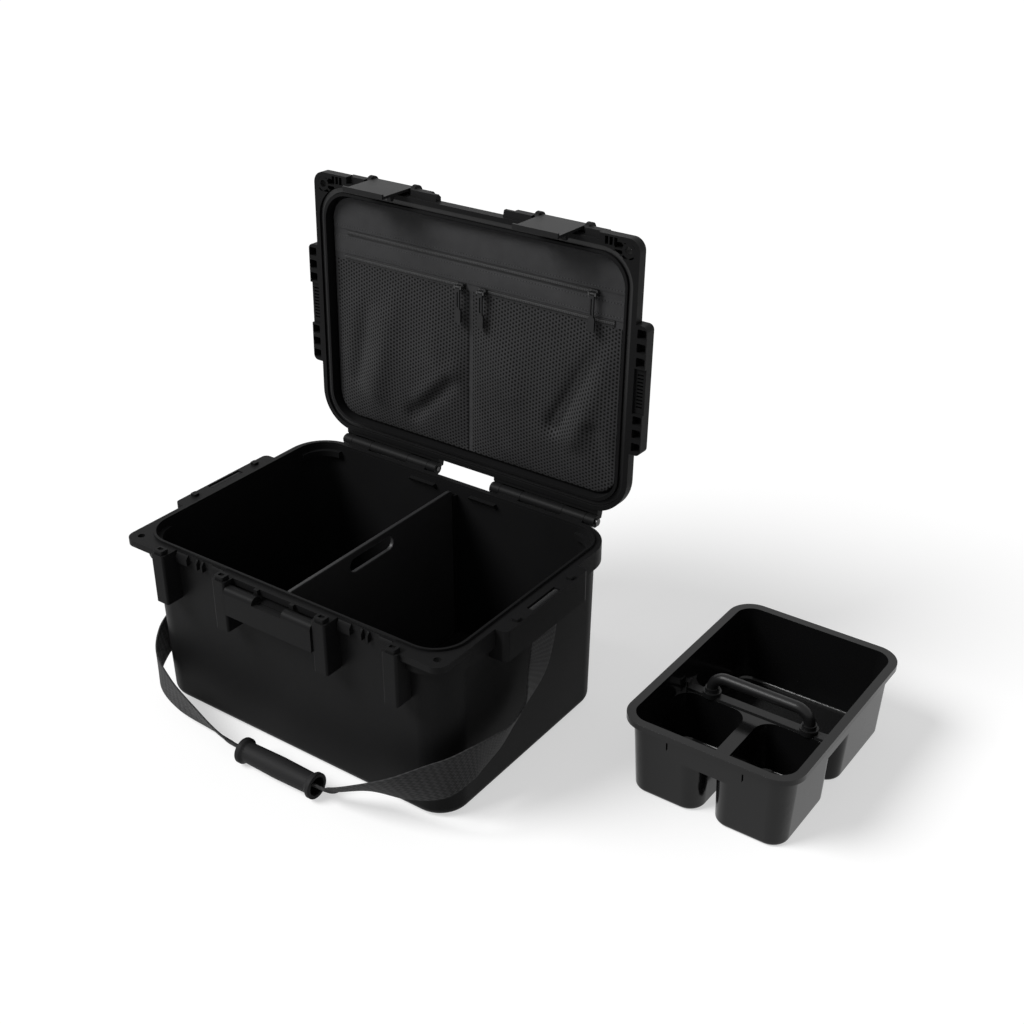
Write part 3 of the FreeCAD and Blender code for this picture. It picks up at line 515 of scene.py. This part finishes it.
def strap_stations():
    """The strap from right to left: the webbing's middle, the way across it, and its share of the width."""

    def round_bar(bar, outward):
        low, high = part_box(bar)
        middle = (low + high) / 2
        return [((middle.x + outward * out, 0, middle.z + up), (0, -1, 0), 1.00) for out, up in BAR_LOOP]

    low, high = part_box("strap_grip")
    grip_y = (low.y + high.y) / 2
    grip_z = (low.z + high.z) / 2
    hang = [
        ((0.2480, -0.005, 0.160), (0.05, -1, 0.05), 1.00),
        ((0.2490, -0.018, 0.135), (0.15, -0.95, 0.2), 1.00),
        ((0.2510, -0.045, 0.106), (0.47, -0.62, 0.62), 1.00),
        ((0.2520, -0.080, 0.090), (0.4, -0.3, 0.85), 1.00),
        ((0.2500, -0.110, 0.086), (0.25, -0.1, 0.95), 1.00),
        ((0.2460, -0.135, 0.083), (0.1, 0, 1), 1.00),
        ((0.2290, -0.166, 0.073), (0, 0, 1), 1.00),
        ((0.1870, -0.188, 0.055), (0, -0.45, 0.9), 1.00),
        ((0.1370, -0.198, 0.038), (0, -0.75, 0.66), 0.80),
        ((0.1040, grip_y, 0.024), (0, -0.75, 0.66), 0.48),
        ((high.x + GRIP_LEAD, grip_y, grip_z), (0, -0.7, 0.7), 0.36),
        ((low.x - GRIP_LEAD, grip_y, grip_z), (0, -0.7, 0.7), 0.36),
        ((-0.0720, grip_y, 0.020), (0, -0.6, 0.8), 0.48),
        ((-0.1100, -0.200, 0.027), (0, -0.4, 0.9), 0.80),
        ((-0.1650, -0.193, 0.037), (0, -0.15, 1), 1.00),
        ((-0.2080, -0.177, 0.049), (0, 0, 1), 1.00),
        ((-0.2320, -0.144, 0.062), (0, 0, 1), 1.00),
        ((-0.2400, -0.095, 0.082), (0, -0.4, 0.9), 1.00),
        ((-0.2450, -0.045, 0.118), (0, -0.7, 0.7), 1.00),
        ((-0.2470, -0.008, 0.156), (0, -0.97, 0.25), 1.00),
    ]
    return round_bar("strap_bar_right", 1) + hang + round_bar("strap_bar_left", -1)[::-1]


def smooth_between(values, place):
    """Catmull-Rom value at a place counted in stations."""
    index = min(int(place), len(values) - 2)
    t = place - index
    before = values[max(index - 1, 0)]
    start = values[index]
    end = values[index + 1]
    after = values[min(index + 2, len(values) - 1)]
    return 0.5 * (2 * start + (end - before) * t + (2 * before - 5 * start + 4 * end - after) * t * t
                  + (3 * start - before - 3 * end + after) * t * t * t)


def carrying_strap():
    """The webbing from one strap bar to the other, through the grip."""
    stations = strap_stations()
    middles = [Vector(middle) for middle, across, share in stations]
    sides = [Vector(across).normalized() for middle, across, share in stations]
    shares = [share for middle, across, share in stations]
    last = len(stations) - 1
    step = 0.05
    piece = flat_sheet("carrying_strap", WEBBING_COLUMNS, WEBBING_ROWS)
    for vertex in piece.data.vertices:
        u = vertex.co.x
        along = (vertex.co.y + 1) / 2 * last
        middle = smooth_between(middles, along)
        ahead = smooth_between(middles, min(along + step, last))
        behind = smooth_between(middles, max(along - step, 0.0))
        tangent = (ahead - behind).normalized()
        side = smooth_between(sides, along)
        side = (side - tangent * side.dot(tangent)).normalized()
        share = smooth_between(shares, along)
        cup = (1 - share) * WEBBING_CUP * (u * u - 0.4)
        vertex.co = middle + side * (u * WEBBING_WIDTH / 2 * share) + tangent.cross(side) * cup
    thicken(piece, WEBBING_THICK)
    soft = piece.modifiers.new("soft edge", "BEVEL")
    soft.width = WEBBING_EDGE
    soft.segments = 2
    soft.limit_method = "ANGLE"
    apply_all(piece)
    bpy.ops.object.shade_smooth_by_angle(angle=SMOOTH_CLOTH)
    stand_in(piece, "strap_webbing")


def paper_floor():
    """White paper that looks brighter than the light it throws back on the object."""
    bpy.ops.object.select_all(action="DESELECT")
    bpy.ops.mesh.primitive_plane_add(size=FLOOR_SIZE, location=(0, 0, 0))
    floor = bpy.context.object
    floor.name = "floor"
    paper = Finish("white paper", roughness=0.9, specular=0.0)
    cloud = paper.noise(paper.place(), scale=3.0)
    paper.paint("Base Color", paper.mix(cloud, grey(PAPER_DARK, tint=0.0), grey(PAPER_LIGHT, tint=0.0)))
    paper.paint("Emission Color", paper.mix(paper.seen(), grey(0.0), grey(PAPER_GLOW, tint=0.0)))
    paper.paint("Emission Strength", 1.0)
    floor.data.materials.append(paper.material)


def even_sky():
    """A dim sky that is white where it is seen."""
    world = bpy.data.worlds.new("even sky")
    bpy.context.scene.world = world
    world.use_nodes = True
    sky = Nodes(world.node_tree)
    background = world.node_tree.nodes["Background"]
    strength = sky.node("ShaderNodeMapRange", {"clamp": True},
                        {"Value": sky.seen(), "To Min": SKY_LIGHT, "To Max": SKY_SEEN})
    sky.feed(background.inputs["Color"], grey(1.0, tint=0.0))
    sky.feed(background.inputs["Strength"], strength)


def soft_lamp():
    """One large lamp from the front left."""
    lamp = bpy.data.lights.new("soft lamp", "SUN")
    lamp.energy = LAMP_STRENGTH
    lamp.angle = LAMP_SPREAD
    sun = bpy.data.objects.new("soft lamp", lamp)
    bpy.context.collection.objects.link(sun)
    sun.rotation_euler = Vector(LAMP_FROM).to_track_quat("Z", "Y").to_euler()


def photograph_camera():
    lens = bpy.data.cameras.new("camera")
    lens.lens = CAMERA_LENS
    lens.sensor_width = CAMERA_SENSOR
    lens.clip_end = CAMERA_REACH
    camera = bpy.data.objects.new("camera", lens)
    bpy.context.collection.objects.link(camera)
    camera.location = CAMERA_PLACE
    camera.rotation_euler = (math.radians(90 - CAMERA_ELEVATION), 0, math.radians(CAMERA_AZIMUTH))
    bpy.context.scene.camera = camera


# The bare solids take their finishes, and the larger mouldings get eased edges
for node, solid in frame["nodes"].items():
    dress(solid, SLOTS[node])
for node in ["case_tub", "lid_shell", "divider_panel", "tray_moulding", "handle_base", "handle_bar",
             "latch_lever_right", "latch_lever_left", "strap_grip"]:
    rounded_copy(node, TRAY_ROUND if node == "tray_moulding" else EDGE_ROUND)

# The organiser in the lid
lid_cloth("lining", "organiser_panel", span=(-0.2200, 0.2200, -0.1500, 0.1500),
          stand=0.0, crown=0.0, slack=0.0002, thick=0.002)
lid_cloth("upper_cloth", "organiser_top", span=(-0.2180, 0.2180, -0.1480, -0.1065),
          stand=0.0012, crown=0.0010, slack=0.0010, thick=0.0012, columns=120, rows=24)
lid_cloth("zip_band", "organiser_band", span=(-0.2180, 0.2180, -0.0985, -0.0745),
          stand=0.0012, crown=0.0008, slack=0.0006, thick=0.0012, columns=120, rows=16)
lid_cloth("left_mesh", "mesh_pocket_left", span=(-0.2150, -0.0035, -0.0655, 0.1480),
          stand=0.0014, crown=0.0075, slack=0.0018, thick=0.0010, sag=1.6, folds=LEFT_FOLDS)
lid_cloth("right_mesh", "mesh_pocket_right", span=(0.0035, 0.2150, -0.0655, 0.1480),
          stand=0.0014, crown=0.0075, slack=0.0018, thick=0.0010, sag=1.6, folds=RIGHT_FOLDS)

carrying_strap()

paper_floor()
even_sky()
soft_lamp()
photograph_camera()
bpy.context.scene.view_settings.view_transform = "Standard"
